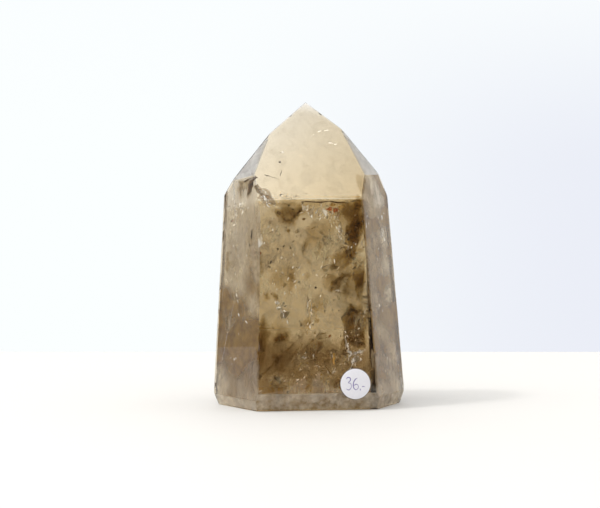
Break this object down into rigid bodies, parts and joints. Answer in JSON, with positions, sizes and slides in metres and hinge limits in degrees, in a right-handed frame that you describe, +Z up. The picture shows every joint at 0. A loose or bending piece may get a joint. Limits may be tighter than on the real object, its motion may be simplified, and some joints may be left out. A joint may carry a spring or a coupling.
{
  "type": "smoky quartz tower",
  "caption": "Polished smoky quartz tower: a faceted crystal point with flat leaning sides, standing on a flat bevelled foot, with a small round price sticker low on its front.",
  "frame": {"origin": "middle of the footprint's bounding box, on the surface the foot stands on", "axes": "+Z up along the tower to its point; the widest front face, which carries the sticker, looks to -Y"},
  "size_m": [0.0852, 0.0594, 0.1341],
  "materials": {
    "smoky_quartz": "polished, see-through smoky brown, clearer towards the tip",
    "sticker_paper": "matt white paper with a few strokes of violet pen"
  },
  "bodies": {
    "root": {"quartz_tower": "smoky_quartz", "price_sticker": "sticker_paper"}
  },
  "joints": []
}
